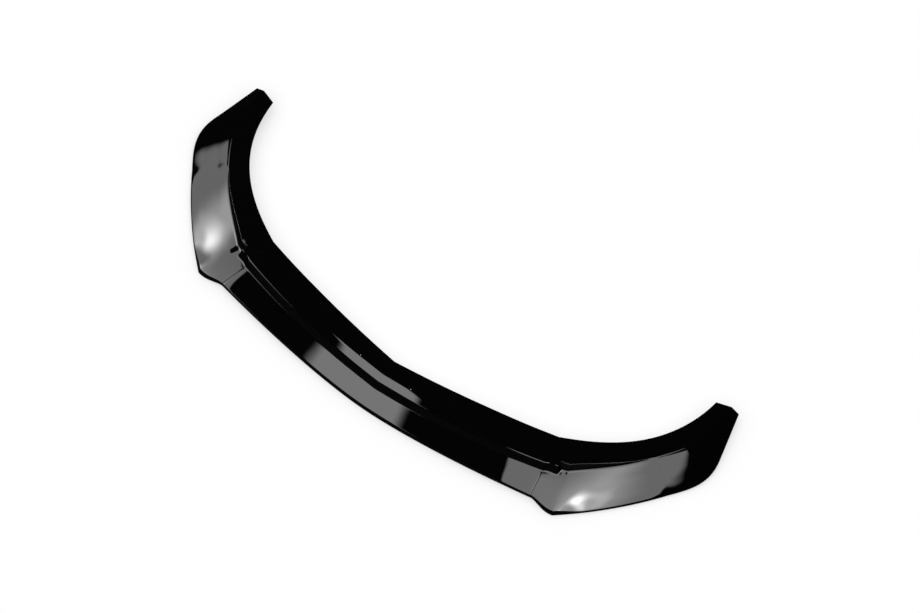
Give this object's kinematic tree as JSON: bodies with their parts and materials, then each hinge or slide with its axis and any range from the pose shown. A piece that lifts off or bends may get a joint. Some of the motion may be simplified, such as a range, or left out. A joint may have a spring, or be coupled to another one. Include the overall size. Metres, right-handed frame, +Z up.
{
  "type": "front splitter lip",
  "caption": "Car front splitter lip of gloss black mouldings, lapped at two seams and screwed from below, with a stepped blade, split ribs and upswept wing tips.",
  "frame": {"origin": "centre of the footprint of the lip, on the surface that it rests on", "axes": "+X across the car, -Y forwards, +Z up"},
  "size_m": [1.707, 0.5836, 0.0435],
  "materials": {
    "gloss_black": "glossy",
    "zinc": "satin"
  },
  "bodies": {
    "root": {"center_lip": "gloss_black", "left_wing": "gloss_black", "right_wing": "gloss_black", "left_joint_screws": "zinc", "right_joint_screws": "zinc", "left_joint_washers": "zinc", "right_joint_washers": "zinc"}
  },
  "joints": []
}
